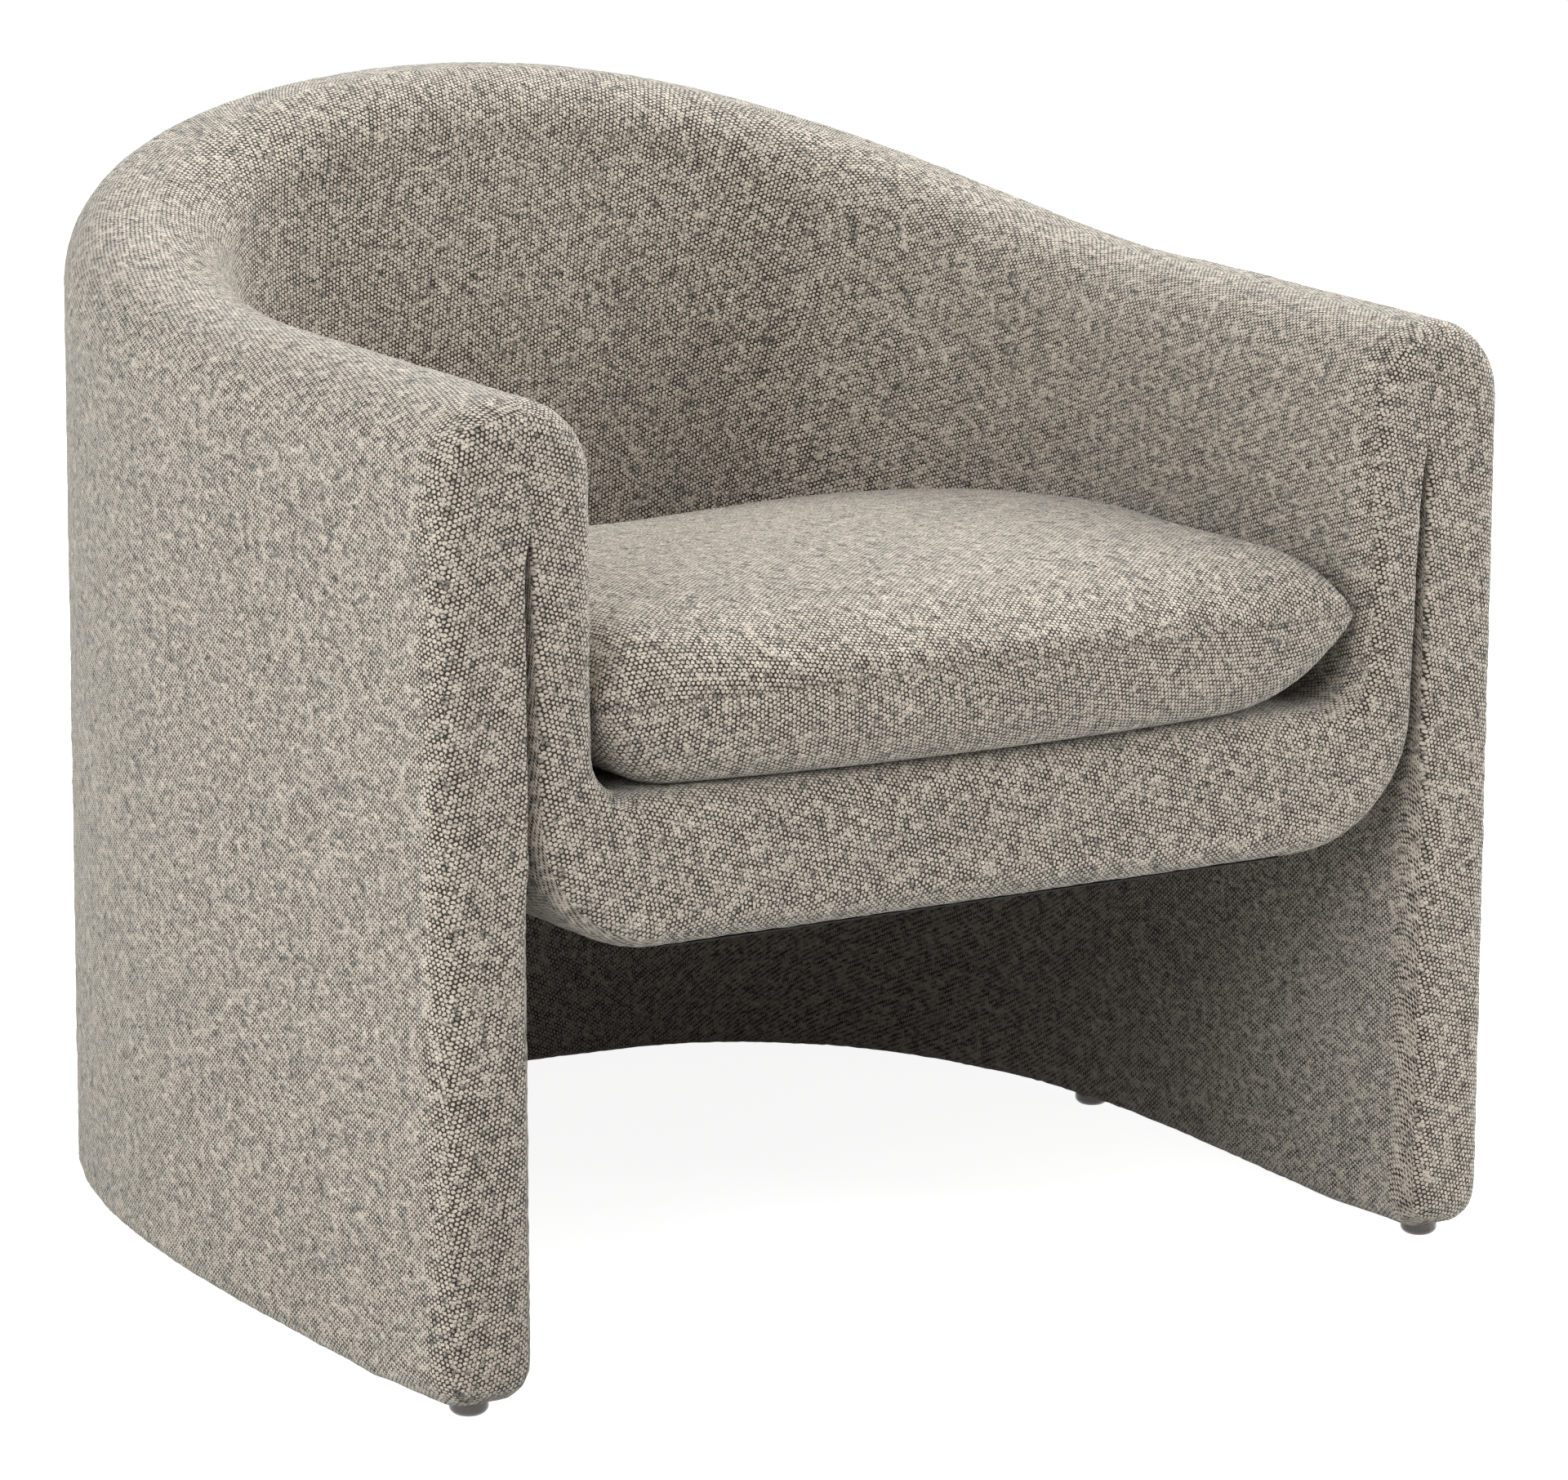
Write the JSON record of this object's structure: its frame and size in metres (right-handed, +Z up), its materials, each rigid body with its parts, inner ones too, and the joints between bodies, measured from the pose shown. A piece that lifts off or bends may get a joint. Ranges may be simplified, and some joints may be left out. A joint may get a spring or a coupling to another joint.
{
  "type": "upholstered tub chair",
  "caption": "Low upholstered tub chair: a curved wall rises from level arms to a rounded back round an inner tub, with a loose knife-edge seat cushion and small glides.",
  "frame": {"origin": "on the floor, under the middle of the bounding box; the cushion's bowed front counts in it", "axes": "+Z up, the open front of the chair faces -Y, +X is the sitter's left"},
  "size_m": [0.8, 0.806, 0.74],
  "materials": {
    "boucle": "nubby pale loops over a darker ground",
    "cushion_boucle": "nubby pale loops over a darker ground",
    "foam": "matt open-cell foam",
    "plywood": "sanded, unfinished",
    "fibreboard": "plain brown board",
    "softwood": "sawn, unfinished",
    "spring_steel": "dark drawn wire",
    "zinc_steel": "bright zinc",
    "insert_brass": "plain",
    "glide_plastic": "glossy, dark brown",
    "lining_cloth": "thin non-woven cloth",
    "dust_cloth": "thin black non-woven cloth"
  },
  "bodies": {
    "frame": {"base_plate": "plywood", "lower_posts": "softwood", "ledge_plate": "plywood", "upper_posts": "softwood", "top_rail": "plywood", "outer_board": "fibreboard", "inner_board": "fibreboard", "wall_foam": "foam", "wall_cover": "boucle", "glides": "glide_plastic", "glide_screws": "zinc_steel", "seat_ring": "plywood", "front_rail": "plywood", "corner_blocks": "softwood", "panel_ring": "plywood", "inner_panel": "fibreboard", "sinuous_springs": "spring_steel", "spring_clips": "zinc_steel", "deck_cloth": "lining_cloth", "deck_foam": "foam", "tub_foam": "foam", "tub_cover": "boucle", "dust_cover": "dust_cloth", "tub_bolts": "zinc_steel", "bolt_washers": "zinc_steel", "bolt_inserts": "insert_brass"},
    "cushion": {"cushion_core": "foam", "cushion_cover": "cushion_boucle"}
  },
  "joints": [
    {"name": "cushion_lift", "type": "slide", "parent": "frame", "child": "cushion", "axis": [0, 0, 1], "range_m": [0, 0.25]}
  ]
}
